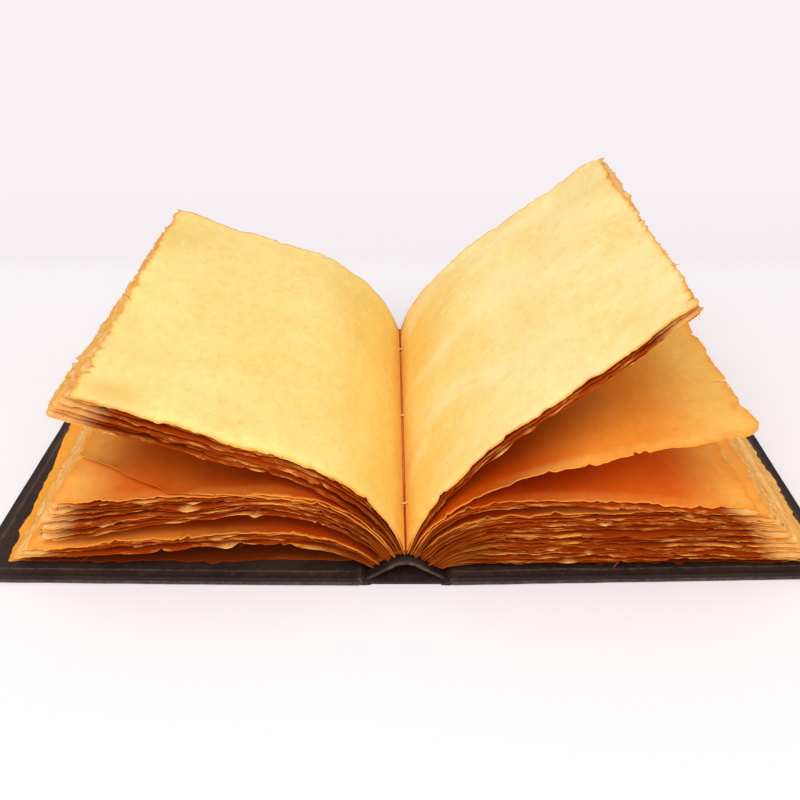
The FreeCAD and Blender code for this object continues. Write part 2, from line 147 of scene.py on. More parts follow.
class Nodes:
    """A short way to write a material's nodes and links."""

    def __init__(self, name, owner=None):
        self.material = owner or bpy.data.materials.new(name)
        self.material.use_nodes = True
        self.tree = self.material.node_tree
        self.tree.nodes.clear()

    def add(self, kind, settings=None, **inputs):
        node = self.tree.nodes.new(kind)
        for key, value in (settings or {}).items():
            setattr(node, key, value)
        for key, value in inputs.items():
            self.put(node, key.replace("_", " "), value)
        return node

    def put(self, node, key, value):
        socket = node.inputs[int(key[1:]) if key[0] == "n" and key[1:].isdigit() else key]
        if isinstance(value, bpy.types.NodeSocket):
            self.tree.links.new(value, socket)
        else:
            socket.default_value = value

    def math(self, operation, a, b=0.0, clamp=False):
        node = self.add("ShaderNodeMath", {"operation": operation, "use_clamp": clamp}, n0=a, n1=b)
        return node.outputs[0]

    def mix(self, share, a, b, how="MIX"):
        node = self.add("ShaderNodeMix", {"data_type": "RGBA", "blend_type": how})
        self.put(node, "n0", share)
        self.put(node, "n6", a)
        self.put(node, "n7", b)
        return node.outputs[2]

    def noise(self, vector, scale, detail=4.0, roughness=0.55, distortion=0.0):
        node = self.add("ShaderNodeTexNoise", None, Vector=vector, Scale=scale, Detail=detail)
        self.put(node, "Roughness", roughness)
        self.put(node, "Distortion", distortion)
        return node.outputs["Fac"]

    def ramp(self, value, low, high, to_low=0.0, to_high=1.0):
        node = self.add("ShaderNodeMapRange", {"interpolation_type": "SMOOTHSTEP"}, Value=value)
        self.put(node, "From Min", low)
        self.put(node, "From Max", high)
        self.put(node, "To Min", to_low)
        self.put(node, "To Max", to_high)
        return node.outputs[0]

    def attribute(self, name):
        return self.add("ShaderNodeAttribute", {"attribute_name": name})

    def scaled(self, vector, factors):
        node = self.add("ShaderNodeVectorMath", {"operation": "MULTIPLY"}, n0=vector, n1=factors)
        return node.outputs[0]

    def bump(self, height, distance, strength=1.0, normal=None):
        node = self.add("ShaderNodeBump", None, Height=height, Distance=distance, Strength=strength)
        if normal is not None:
            self.put(node, "Normal", normal)
        return node.outputs[0]

    def surface(self, colour, roughness, normal=None, specular=0.3, **more):
        shader = self.add("ShaderNodeBsdfPrincipled")
        self.put(shader, "Base Color", colour)
        self.put(shader, "Roughness", roughness)
        self.put(shader, "Specular IOR Level", specular)
        for key, value in more.items():
            self.put(shader, key.replace("_", " "), value)
        if normal is not None:
            self.put(shader, "Normal", normal)
        out = self.add("ShaderNodeOutputMaterial")
        self.tree.links.new(shader.outputs[0], out.inputs[0])
        return self.material


def floor_material():
    """Near white, with a softly darker far part, and the object's shadow kept faint."""
    nodes = Nodes("floor")
    place = nodes.add("ShaderNodeNewGeometry").outputs["Position"]
    split = nodes.add("ShaderNodeSeparateXYZ", None, Vector=place)
    far = nodes.ramp(split.outputs["Y"], 0.185, 0.225)
    near_white, far_white = (0.955, 0.918, 0.935, 1), (0.925, 0.876, 0.893, 1)
    colour = nodes.mix(far, near_white, far_white)
    lit = nodes.add("ShaderNodeBsdfDiffuse", None, Color=colour)
    seen = nodes.add("ShaderNodeEmission", None, Color=colour, Strength=1.0)
    path = nodes.add("ShaderNodeLightPath")
    rays = nodes.math("MAXIMUM", path.outputs["Is Camera Ray"], path.outputs["Is Glossy Ray"])
    rays = nodes.math("MAXIMUM", rays, path.outputs["Is Transmission Ray"])
    share = nodes.math("MULTIPLY", rays, nodes.ramp(split.outputs["Y"], 0.05, 0.4, 0.12, 1.0))
    both = nodes.add("ShaderNodeMixShader")
    nodes.put(both, "n0", share)
    nodes.put(both, "n1", lit.outputs[0])
    nodes.put(both, "n2", seen.outputs[0])
    out = nodes.add("ShaderNodeOutputMaterial")
    nodes.tree.links.new(both.outputs[0], out.inputs[0])
    return nodes.material


FLOOR_HALF = 4000.0
corners = [(-1, -1, 0), (1, -1, 0), (1, 1, 0), (-1, 1, 0)]
floor = new_object("floor", np.array(corners) * FLOOR_HALF, [(0, 1, 2, 3)], False)
floor.data.materials.append(floor_material())

world = bpy.data.worlds.new("studio")
bpy.context.scene.world = world
sky = Nodes("studio", world)
background = sky.add("ShaderNodeBackground", None, Color=(1.0, 0.985, 0.99, 1), Strength=0.6)
sky_out = sky.add("ShaderNodeOutputWorld")
sky.tree.links.new(background.outputs[0], sky_out.inputs[0])

lamp_data = bpy.data.lights.new("softbox", "AREA")
lamp_data.shape = "RECTANGLE"
lamp_data.size, lamp_data.size_y = 1.9, 1.3
lamp_data.energy = 23.0
lamp = bpy.data.objects.new("softbox", lamp_data)
lamp.location = (-0.15, -1.15, 1.15)
lamp.rotation_euler = (Vector((0, 0, 0.02)) - lamp.location).to_track_quat("-Z", "Y").to_euler()
bpy.context.scene.collection.objects.link(lamp)
bpy.context.scene.view_settings.view_transform = "Standard"

# ---- leaves ----


def arch_point(height, along):
    """Point of the arch's right half: its height over the underside, and the way from the top."""
    radius = ARCH_RADIUS + height
    turn = min(along / radius, ARCH_SLOPE)
    rest = max(0.0, along - radius * ARCH_SLOPE)
    x = radius * math.sin(turn) + rest * math.cos(ARCH_SLOPE)
    z = ARCH_CENTRE + radius * math.cos(turn) - rest * math.sin(ARCH_SLOPE)
    return x, z


def arch_long(height):
    return (ARCH_RADIUS + height) * ARCH_SLOPE + ARCH_SIDE


def between(first, last, share):
    low, high = KEY_LEAVES[first], KEY_LEAVES[last]
    return {key: low[key] + (high[key] - low[key]) * share for key in low}


ROOT_REACH = 9.0
FOLD_LEAN = -2.4


def leaf_path(leaf, above_rest):
    """A leaf's line across the spine: distance from the fold to place, height and lean."""
    x, z = arch_point(FOLD_MIDDLE, leaf["place"] * arch_long(FOLD_MIDDLE))
    z = max(z, REST_LEVEL + above_rest)
    root_x, root_z = arch_point(FOLD_LOW, leaf["place"] * arch_long(FOLD_LOW))
    root_z = max(root_z, REST_LEVEL + above_rest - 0.1)
    bend, tilt = leaf["bend"], math.radians(leaf["tilt"])
    start = max(math.acos(math.cos(tilt) - leaf["lift"] / bend), tilt + math.radians(1))
    centre_x = x + bend * math.sin(start)
    centre_z = z - bend * math.cos(start)
    bend_long = bend * (start - tilt)
    end_x = centre_x - bend * math.sin(tilt)
    end_z = centre_z + bend * math.cos(tilt)

    def path(s):
        lean = np.where(s < bend_long, start - s / bend, tilt)
        on = np.maximum(s - bend_long, 0.0)
        px = np.where(s < bend_long, centre_x - bend * np.sin(lean), end_x + on * math.cos(tilt))
        pz = np.where(s < bend_long, centre_z + bend * np.cos(lean), end_z + on * math.sin(tilt))
        pz = pz - leaf["droop"] * smooth((s - 75.0) / 50.0)
        near_root = 1 - smooth(s / ROOT_REACH)
        return px + (root_x - x) * near_root, pz + (root_z - z) * near_root, lean

    return path


def wave_rows(seed, lengths, heights):
    """Long soft waves over the sheet, that change little from one leaf to the next."""
    rng = np.random.default_rng(seed)
    rows = []
    for length, height in zip(lengths, heights):
        for _ in range(3):
            way = rng.uniform(0, 2 * math.pi)
            pace = 2 * math.pi / length * rng.uniform(0.75, 1.3)
            turn, begin = rng.uniform(-1, 1), rng.uniform(0, 2 * math.pi)
            rows.append((pace * math.cos(way), pace * math.sin(way), turn, begin, height))
    return rows


def wave(rows, s, t, number):
    total = 0.0
    for pace_s, pace_t, turn, begin, height in rows:
        total = total + height * np.sin(pace_s * s + pace_t * t + turn * number + begin)
    return total


def ragged(rng, steps):
    """A torn line: stray values at several spacings, each joined smoothly."""
    layers = []
    for spacing, depth in steps:
        knots = np.arange(-130.0, 250.0, spacing)
        layers.append((knots, rng.normal(0, depth, len(knots))))

    def value(at):
        return sum(np.interp(at, knots, strays) for knots, strays in layers)

    return value


TORN = [(22.0, 0.5), (7.0, 0.3), (2.6, 0.22), (1.1, 0.13), (0.5, 0.08)]
CURLED = [(26.0, 0.35), (9.0, 0.28), (3.2, 0.16), (1.3, 0.08)]
# rows beside the tail and head edges and beside the fore-edge, and the pace of the rest, which
# are fine where a leaf's face shows and coarse where leaves lie close together
FINE = ([0.0, 0.3, 0.8, 1.7, 3.4, 6.5], [0.0, 0.3, 0.8, 1.7, 3.0, 5.0], 0.85)
COARSE = ([0.0, 0.4, 1.7, 6.5], [0.0, 0.4, 1.7, 5.0], 1.2)
FACE_PACE = 5


def nicks(rng, count, low, high, depth, wide):
    """Places along an edge where the sheet is nicked, or where a bit of it is turned down."""
    places = rng.uniform(low, high, count)
    depths = rng.uniform(0.3, 1.0, count) ** 1.5 * depth
    widths = rng.uniform(0.4, 1.0, count) * wide

    def value(at):
        total = np.zeros(np.shape(at))
        for place, deep, half in zip(places, depths, widths):
            total = np.maximum(total, deep * np.clip(1 - np.abs(at - place) / half, 0, 1))
        return total

    return value


def leaf_mesh(side, leaf, number, above_rest, closed, rise, skew, hanging, own):
    """A closed sheet with torn edges. Gives its points, faces and the values its material reads."""
    edge_rows, fore_rows, pace = COARSE if closed else FINE
    rng = np.random.default_rng(100 + number)
    path = leaf_path(leaf, above_rest)
    width = PAGE_WIDE + leaf["extra"] + 0.5 * rng.normal() * closed
    half = PAGE_LONG / 2 - abs(rng.normal(0, 0.5)) * closed
    slide = rng.normal(0, 0.75 if closed else 0.2)
    fore, tail, head = (ragged(rng, TORN) for _ in range(3))
    curl_fore, curl_tail, curl_head = (ragged(rng, CURLED) for _ in range(3))
    nick_fore = nicks(rng, 9, -85, 85, 2.2, 1.6)
    nick_tail, nick_head = (nicks(rng, 7, 15, 118, 1.8, 1.8) for _ in range(2))
    flap_tail, flap_head = (nicks(rng, 1, 20, 115, 1.1, 7.0) for _ in range(2))
    flap_fore = nicks(rng, 3, -80, 80, 1.2, 4.5)
    round_tail, round_head = rng.uniform(0.8, 3.2, 2)
    round_tail = own.get("round_tail", round_tail)
    round_head = own.get("round_head", round_head)

    # rows along the spine: close together at each torn end, with the rest between them
    inner_long = half - edge_rows[-1]
    long_steps = int(2 * inner_long / pace)
    inner = np.linspace(-inner_long, inner_long, long_steps + 1)
    if "slit" in own:
        slit_at, slit_deep = own["slit"]
        nearest = int(np.argmin(np.abs(inner - slit_at)))
        inner[nearest - 1 : nearest + 2] = (slit_at - 0.45, slit_at, slit_at + 0.45)
    shares = np.linspace(0, 1, long_steps // FACE_PACE + 1)
    if closed:
        shares = shares if rise else (0, 0.5, 1)
    coarse = sorted({round(long_steps * share) for share in shares})
    edge = edge_rows[:-1]
    many = len(edge)
    ends = np.array([half - e for e in edge])
    base = np.concatenate([-ends, inner, ends[::-1]])
    inward = half - np.abs(base)
    kept = list(range(many)) + [many + i for i in coarse]
    kept += [many + long_steps + 1 + i for i in range(many)]
    edge_share = np.clip(1 - inward / edge_rows[-1], 0, 1)

    # columns from the fold to the fore-edge
    across = int((width - fore_rows[-1]) / pace)
    main = np.linspace(0, 1, across + 1) * (width - fore_rows[-1])
    beyond = fore_rows[::-1][1:]
    stations = np.concatenate([main, [width - e for e in beyond]])
    fore_share = np.concatenate([np.zeros(across + 1), [1 - e / fore_rows[-1] for e in beyond]])

    s, t = np.meshgrid(stations, base, indexing="ij")
    fs, es = np.meshgrid(fore_share, edge_share, indexing="ij")
    inward_all = np.broadcast_to(inward[None, :], s.shape)
    near_tail = np.broadcast_to(base < 0, s.shape)
    sign = np.where(near_tail, -1.0, 1.0)
    toward_head = (t + half) / (2 * half)

    fore_out = fore(t) - nick_fore(t)
    if "wider_head" in own:
        fore_out = fore_out + own["wider_head"] * smooth((toward_head - 0.35) / 0.3)
    if "slit" in own:
        fore_out = fore_out - slit_deep * np.clip(1 - np.abs(t - slit_at) / 0.5, 0, 1)
    s = s * (1 + skew * (toward_head - 0.25) / width) + fore_out * fs
    from_fore = np.maximum(width - s + (fore_out + skew * (toward_head - 0.25)), 0.0)

    out = np.where(near_tail, tail(s) - nick_tail(s), head(s) - nick_head(s))
    lost_tail, lost_fore = own.get("lost", (-9.0, 0.0))
    cut_from = width - lost_tail
    out = np.where(near_tail & (s > cut_from), 0.12 * out, out)
    corner = np.where(near_tail, round_tail, round_head)
    past = np.clip(1 - from_fore / corner, 0, 1)
    rounding = corner * (1 - np.sqrt(np.maximum(0.0, 1 - past**2))) * 0.85
    if "torn_head" in own:
        torn_wide, torn_deep = own["torn_head"]
        torn = torn_deep * np.clip(1 - from_fore / torn_wide, 0, 1)
        rounding = np.where(near_tail, rounding, np.maximum(rounding, torn))
    flap = np.where(near_tail, flap_tail(s), flap_head(s)) * closed
    t = t + sign * (out - rounding + 0.7 * flap) * es + slide
    if "lost" in own:
        limit = -half + lost_fore * np.clip((s - cut_from) / lost_tail, 0, 1.2)
        share = np.clip((half - t) / (2 * half), 0, 1)
        t = t + np.maximum(0.0, limit + half) * share
    off_edge = 14.0 * smooth((s - cut_from + 10) / 14) * near_tail if "lost" in own else 0.0
    edge_far = np.minimum(inward_all + off_edge, from_fore)

    r, z, lean = path(s)
    free = smooth(s / 45.0)
    swell = wave(SWELLS, s, t, number * 0.22) * free
    near_edge = 0.45 + 0.75 * np.maximum(es, fs)
    crinkle = wave(CRINKLES, s, t, number * 0.45) * smooth(s / 30.0) * near_edge
    curl = curl_fore(t) * fs**1.5 + np.where(near_tail, curl_tail(s), curl_head(s)) * es**1.5 * free
    turned = flap * es**2 + flap_fore(t) * fs**2 * closed
    for at_s, reach, deep in hanging:
        turned = turned + deep * smooth(1 - np.abs(s - at_s) / reach) * es**1.5 * near_tail
    twist = rise * toward_head * (s / width) ** 1.5
    stir = 0.5 if closed else 1.0
    leaning = FOLD_LEAN * toward_head * (1 - smooth(s / 70.0))
    if "lost" in own:
        beside_cut = np.exp(-np.maximum(0, t - limit) / 4.0)
        swell = swell + 0.9 * beside_cut * smooth((s - cut_from + 6) / 12)
    lift = swell + stir * (crinkle + 0.55 * curl) - 0.9 * turned + twist
    body = LEAF_THICK * (1 - 0.5 * np.maximum(fs, es) ** 3 + 0.4 * (1 - smooth(s / 16.0)))

    def sheet(offset):
        up = lift - offset
        x = side * (r - up * np.sin(lean)) + leaning
        return np.stack([x, t, z + up * np.cos(lean)], axis=-1)

    top, under = sheet(0.0), sheet(body)
    rows = s.shape[1]
    used = np.zeros(s.shape, dtype=bool)
    used[:, kept] = True
    used[across:, :] = True
    ids = np.full(s.shape, -1)
    ids[used] = np.arange(used.sum())
    count = int(used.sum())
    points = np.concatenate([top[used], under[used]])
    mark = np.zeros(s.shape)
    for at_s, at_t, wide_s, wide_t in own.get("marks", ()):
        mark = np.maximum(mark, np.exp(-(((s - at_s) / wide_s) ** 2) - ((t - at_t) / wide_t) ** 2))
    if closed:
        mark = -flap * es
    values = np.stack([s[used], t[used], np.full(count, 57.0 * number)], axis=-1)
    rims = np.stack([edge_far[used], mark[used], np.full(count, float(closed))], axis=-1)
    values, rims = np.concatenate([values, values]), np.concatenate([rims, rims])

    faces, rim_faces = [], []
    flip = side > 0

    def add(loop):
        faces.append(loop if flip else loop[::-1])
        faces.append([i + count for i in (loop[::-1] if flip else loop)])

    grid = ids.tolist()
    for j in range(across):
        a, b = grid[j], grid[j + 1]
        joins = j == across - 1
        for k0, k1 in zip(kept, kept[1:]):
            add([a[k0], *(b[k0 : k1 + 1] if joins else (b[k0], b[k1])), a[k1]])
    for a, b in zip(grid[across:], grid[across + 1 :]):
        for k in range(rows - 1):
            add([a[k], b[k], b[k + 1], a[k + 1]])
    ring = [column[0] for column in grid]
    ring += grid[-1][1:]
    ring += [column[-1] for column in grid[-2::-1]]
    ring += [grid[0][k] for k in reversed(kept[1:-1])]
    for a, b in zip(ring, ring[1:] + ring[:1]):
        loop = [b, a, a + count, b + count]
        rim_faces.append(loop if flip else loop[::-1])
    return points, faces, rim_faces, values, rims


SWELLS = wave_rows(5, (150.0, 80.0, 45.0), (0.35, 0.3, 0.16))
CRINKLES = wave_rows(9, (30.0, 17.0, 9.0), (0.16, 0.11, 0.05))


def join_leaves(name, meshes, material):
    points, faces, smooths, sheets, rims, shift = [], [], [], [], [], 0
    for mesh_points, mesh_faces, rim_faces, values, rim_values in meshes:
        faces += [[i + shift for i in loop] for loop in mesh_faces + rim_faces]
        smooths += [True] * len(mesh_faces) + [False] * len(rim_faces)
        points.append(mesh_points)
        sheets.append(values)
        rims.append(rim_values)
        shift += len(mesh_points)
    mesh = bpy.data.meshes.new(name)
    mesh.from_pydata((np.concatenate(points) * MM).tolist(), [], faces)
    mesh.polygons.foreach_set("use_smooth", smooths)
    return finished(name, mesh, material, np.concatenate(sheets), np.concatenate(rims))


def finished(name, mesh, material, sheets, rims, body="text_block", node="pages", slot="leaves"):
    """The object for a paper mesh, with the values that its material reads at each point."""
    for key, rows in (("sheet", sheets), ("rim", rims)):
        layer = mesh.attributes.new(key, "FLOAT_VECTOR", "POINT")
        layer.data.foreach_set("vector", rows.astype(np.float32).ravel())
    mesh.materials.append(material)
    obj = bpy.data.objects.new(name, mesh)
    bpy.context.scene.collection.objects.link(obj)
    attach(obj, body)
    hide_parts(node)
    return obj


def paper_material(name, tones, stain, cream=0.0, warm_reach=2.5, lit_band=0.55):
    """Handmade paper: cloudy pulp, fibres and flecks, in tones from the fore-edge to the fold.

    The tones darken towards the fold as painted shade of the leaves above. The torn edge is
    stained, with a band of painted light along it, and where leaves lie close together what is
    behind the edge is dark with painted shade.
    """
    nodes = Nodes(name)
    sheet = nodes.attribute("sheet").outputs["Vector"]
    rim = nodes.add("ShaderNodeSeparateXYZ", None, Vector=nodes.attribute("rim").outputs["Vector"])
    edge_far, mark, closed = rim.outputs["X"], rim.outputs["Y"], rim.outputs["Z"]
    from_fold = nodes.add("ShaderNodeSeparateXYZ", None, Vector=sheet).outputs["X"]
    long_sheet = nodes.scaled(sheet, (1.0, 0.6, 1.0))
    clouds = nodes.noise(long_sheet, 0.04, 5.0, 0.6)
    mottle = nodes.noise(long_sheet, 0.36, 6.0, 0.7)
    pulp = nodes.noise(long_sheet, 2.0, 5.0, 0.7)

    # tones from the fore-edge to the fold: darker and deeper towards the fold, painted shade of the
    # leaves lying over this one
    (far, colour), *nearer = tones
    outer = colour
    for near, tone in nearer:
        colour = nodes.mix(nodes.ramp(from_fold, far, near), colour, tone)
        far = near
    # painted light: within 7 mm of a torn edge and away from the fold, the colour goes back to the outer
    # tone, where light reaches in past the leaves above
    lit_band_share = nodes.ramp(from_fold, 25.0, 65.0, 0.0, lit_band)
    near_edge = nodes.math("MULTIPLY", nodes.ramp(edge_far, 7.0, 1.0), lit_band_share)
    colour = nodes.mix(near_edge, colour, outer)
    lighter = nodes.mix(1.0, colour, (1.12, 1.2, 1.5, 1), "MULTIPLY")
    darker = nodes.mix(1.0, colour, (0.95, 0.81, 0.58, 1), "MULTIPLY")
    base = colour
    colour = nodes.mix(nodes.ramp(clouds, 0.4, 0.72, 0.0, 0.5), base, lighter)
    colour = nodes.mix(nodes.ramp(clouds, 0.45, 0.25, 0.0, 0.45), colour, darker)
    colour = nodes.mix(nodes.ramp(mottle, 0.5, 0.72, 0.0, 0.6), colour, lighter)
    colour = nodes.mix(nodes.ramp(mottle, 0.5, 0.28, 0.0, 0.6), colour, darker)
    colour = nodes.mix(nodes.ramp(pulp, 0.52, 0.32, 0.0, 0.4), colour, darker)
    if cream:
        turned = nodes.add("ShaderNodeMapping", None, Vector=sheet)
        nodes.put(turned, "Rotation", (0, 0, math.radians(40)))
        nodes.put(turned, "Scale", (0.028, 0.045, 1.0))
        bands = nodes.noise(turned.outputs[0], 1.0, 4.0, 0.6, 0.5)
        colour = nodes.mix(nodes.ramp(bands, 0.45, 0.75, 0.0, cream), colour, (0.98, 0.81, 0.43, 1))

    fibres = nodes.noise(long_sheet, 1.2, 3.0, 0.7, 1.2)
    colour = nodes.mix(nodes.ramp(fibres, 0.64, 0.78, 0.0, 0.2), colour, darker)
    flecks = nodes.add("ShaderNodeTexVoronoi", {"feature": "F1"}, Vector=sheet, Scale=0.2)
    fleck = nodes.ramp(flecks.outputs["Distance"], 0.05, 0.03, 0.0, 0.6)
    colour = nodes.mix(fleck, colour, (0.55, 0.2, 0.03, 1))

    stain = stain or outer
    uneven = nodes.math("MULTIPLY", nodes.noise(sheet, 0.14, 4.0, 0.7), 3.0)
    reach = nodes.math("SUBTRACT", edge_far, nodes.math("SUBTRACT", uneven, 1.2))
    stained = nodes.ramp(reach, 1.0, -0.4, 0.0, 0.85 if stain is not outer else 0.0)
    colour = nodes.mix(stained, colour, stain)
    warm = nodes.mix(1.0, colour, (1.0, 0.72, 0.42, 1), "MULTIPLY")
    colour = nodes.mix(nodes.ramp(edge_far, warm_reach, 0.0, 0.0, 0.6), colour, warm)
    stray = nodes.math("MULTIPLY", nodes.math("SUBTRACT", mottle, 0.5), 0.9)
    speckle = nodes.math("MULTIPLY", nodes.math("SUBTRACT", pulp, 0.5), 1.6)
    spread = nodes.math("ADD", nodes.math("ADD", mark, stray), speckle)
    spread = nodes.ramp(spread, 0.35, 1.3, 0.0, 0.5)
    colour = nodes.mix(spread, colour, (0.88, 0.3, 0.03, 1))

    # closed leaves: bright and dark bits along the very edge, and painted shade behind it, where the next
    # leaf lies close above
    along_s = nodes.noise(nodes.scaled(sheet, (0.22, 1.0, 0.37)), 0.35, 4.0, 0.7)
    along_t = nodes.noise(nodes.scaled(sheet, (1.0, 0.22, 0.37)), 0.35, 4.0, 0.7)
    at_fore = nodes.ramp(from_fold, 112.0, 117.0)
    bits = nodes.add("ShaderNodeMix", {"data_type": "FLOAT"}, n0=at_fore, n2=along_s, n3=along_t)
    bright = nodes.ramp(bits.outputs[0], 0.48, 0.68)
    bit_tone = nodes.mix(bright, (0.36, 0.045, 0.001, 1), (0.85, 0.34, 0.055, 1))
    # painted shade: dark beyond 2.4 mm in from the edge, between leaves lying close together
    edge_tone = nodes.mix(nodes.ramp(edge_far, 0.4, 2.4), bit_tone, (0.28, 0.03, 0.001, 1))
    turned_up = nodes.math("SUBTRACT", mark, nodes.math("MULTIPLY", stray, 0.5))
    turned_up = nodes.ramp(turned_up, -0.15, -0.9, 0.0, 0.8)
    edge_tone = nodes.mix(turned_up, edge_tone, (0.95, 0.5, 0.13, 1))
    fanned = nodes.mix(nodes.ramp(mottle, 0.3, 0.7), (0.96, 0.54, 0.13, 1), (0.98, 0.72, 0.34, 1))
    fanned = nodes.mix(stained, fanned, stain)
    edge_tone = nodes.mix(nodes.ramp(from_fold, 104.0, 115.0, 0.0, 0.85), edge_tone, fanned)
    colour = nodes.mix(closed, colour, edge_tone)
    # painted shade: closed leaves darken towards the fold, deep between the leaves' roots
    shade_at_root = nodes.math("MULTIPLY", closed, nodes.ramp(from_fold, 30.0, 5.0, 0.0, 0.75))
    colour = nodes.mix(shade_at_root, colour, (0.22, 0.035, 0.002, 1))
    # painted shade: dark where the fold meets the tail and head, in the gap between the folds and the
    # liner
    end_shade_share = nodes.ramp(edge_far, 4.0, 1.0, 0.0, 0.7)
    at_end = nodes.math("MULTIPLY", nodes.ramp(from_fold, 8.0, 1.5), end_shade_share)
    colour = nodes.mix(at_end, colour, (0.3, 0.055, 0.003, 1))

    pulp_high, mottle_high = (nodes.math("MULTIPLY", part, 0.7) for part in (pulp, mottle))
    height = nodes.math("ADD", pulp_high, mottle_high)
    height = nodes.math("ADD", height, nodes.math("MULTIPLY", fibres, 0.2))
    normal = nodes.bump(height, 0.00013, 0.9)
    return nodes.surface(colour, 0.9, normal, specular=0.04)


STAIN = (0.9, 0.4, 0.06, 1)
# the tones nearer the fold are painted shade: a little deeper near the gutter on the open pages, and dark
# brown deep under the leaves above on the single and inner leaves
PAPERS = {
    "left_open": paper_material(
        "paper_left", [(60.0, (0.955, 0.71, 0.245, 1)), (10.0, (0.955, 0.65, 0.16, 1))], STAIN
    ),
    "right_open": paper_material(
        "paper_right", [(62.0, (0.965, 0.74, 0.3, 1)), (10.0, (0.955, 0.62, 0.15, 1))], STAIN, 0.7
    ),
    "right_single": paper_material(
        "paper_single",
        [
            (120.0, (0.97, 0.55, 0.12, 1)),
            (82.0, (0.94, 0.3, 0.03, 1)),
            (40.0, (0.62, 0.08, 0.001, 1)),
        ],
        STAIN,
        warm_reach=5.0,
    ),
    # painted shade: dark in the crack of the middle fold
    "gutter": paper_material(
        "paper_gutter",
        [(1.5, (0.955, 0.63, 0.15, 1)), (0.7, (0.93, 0.42, 0.06, 1)), (0.2, (0.5, 0.09, 0.005, 1))],
        STAIN,
        lit_band=0.0,
    ),
    "inner": paper_material(
        "paper_inner",
        [
            (118.0, (0.92, 0.44, 0.08, 1)),
            (90.0, (0.66, 0.13, 0.008, 1)),
            (45.0, (0.45, 0.05, 0.001, 1)),
        ],
        STAIN,
        warm_reach=5.0,
        lit_band=0.35,
    ),
}

number = 0
for name, side, first, last, leaves, rise, skew in GROUPS:
    meshes = []
    rng = np.random.default_rng(len(name) + leaves)
    for index in range(leaves):
        stray = 0.3 * rng.uniform(-1, 1) if 0 < index < leaves - 1 else 0.0
        leaf = between(first, last, (index + stray) / max(leaves - 1, 1))
        number += 1
        own = OWN.get((name, index), {})
        above = 0.4 if last.endswith("_last") else 0.0
        shown = index == 0 or own.get("shown", False)
        hanging = TURNED.get(name, ())
        tilted = own.get("skew", skew)
        meshes.append(leaf_mesh(side, leaf, number, above, not shown, rise, tilted, hanging, own))
    join_leaves(name, meshes, PAPERS.get(first, PAPERS["inner"]))


# ---- folds, sewing and stray fibres ----


def tube(points, radii, sides=6):
    """A closed round thread through the points."""
    points = np.asarray(points, float)
    ring_points, faces = [], []
    ways = np.gradient(points, axis=0)
    for at, way, radius in zip(points, ways, radii):
        way = Vector(way).normalized()
        across = way.orthogonal().normalized()
        other = way.cross(across)
        for step in range(sides):
            turn = 2 * math.pi * step / sides
            offset = (across * math.cos(turn) + other * math.sin(turn)) * radius
            ring_points.append(tuple(Vector(at) + offset))
    for k in range(len(points) - 1):
        for step in range(sides):
            a, b = k * sides + step, k * sides + (step + 1) % sides
            faces.append([a, b, b + sides, a + sides])
    last = (len(points) - 1) * sides
    faces.append(list(range(sides))[::-1])
    faces.append([last + step for step in range(sides)])
    return ring_points, faces


def joined(parts):
    points, faces, shift = [], [], 0
    for part_points, part_faces in parts:
        faces += [[i + shift for i in loop] for loop in part_faces]
        points += list(part_points)
        shift += len(part_points)
    return np.array(points), faces


def fold_band():
    """The backs of the folds, side by side over the arch, behind the ends of the leaves."""
    low, high = FOLD_LOW - 0.05, FOLD_LOW + 1.2
    folds = 60
    shares = np.linspace(-0.985, 0.985, 6 * folds + 1)
    outline = []
    for share in shares:
        scallop = 0.22 * abs(math.sin(math.pi * folds * (share + 1) / 2))
        for height in (low + scallop, high):
            x, z = arch_point(height, abs(share) * arch_long(height))
            outline.append((math.copysign(x, share), max(z, REST_LEVEL - 0.2)))
    rows = np.array(outline)
    stations = np.linspace(-PAGE_LONG / 2 + 0.6, PAGE_LONG / 2 - 0.6, 16)
    points = [(x, y, z) for y in stations for x, z in rows]
    across, faces = len(rows), []
    for k in range(len(stations) - 1):
        a, b = k * across, (k + 1) * across
        for i in range(0, across - 2, 2):
            faces.append([a + i, a + i + 2, b + i + 2, b + i])
            faces.append([a + i + 1, b + i + 1, b + i + 3, a + i + 3])
        faces.append([a, b, b + 1, a + 1])
        end = across - 2
        faces.append([a + end, a + end + 1, b + end + 1, b + end])
    for k, way in ((0, 1), (len(stations) - 1, -1)):
        a = k * across
        for i in range(0, across - 2, 2):
            faces.append([a + i, a + i + 1, a + i + 3, a + i + 2][::way])
    return np.array(points), faces


def plain_values(points, closed, tone=0.0):
    """Values for the paper's material on a piece that has no torn edge of its own."""
    sheets = np.stack([points[:, 0], points[:, 1], points[:, 2] * 3.0], axis=-1)
    rims = np.tile([tone, 0.0, closed], (len(points), 1))
    return sheets, rims


# the folds take the closed leaves' painted shade: dark all over, lying deep between the leaves' roots
points, faces = fold_band()
mesh = bpy.data.meshes.new("folds")
mesh.from_pydata((points * MM).tolist(), [], faces)
finished("folds", mesh, PAPERS["inner"], *plain_values(points, 1.0, 1.2))


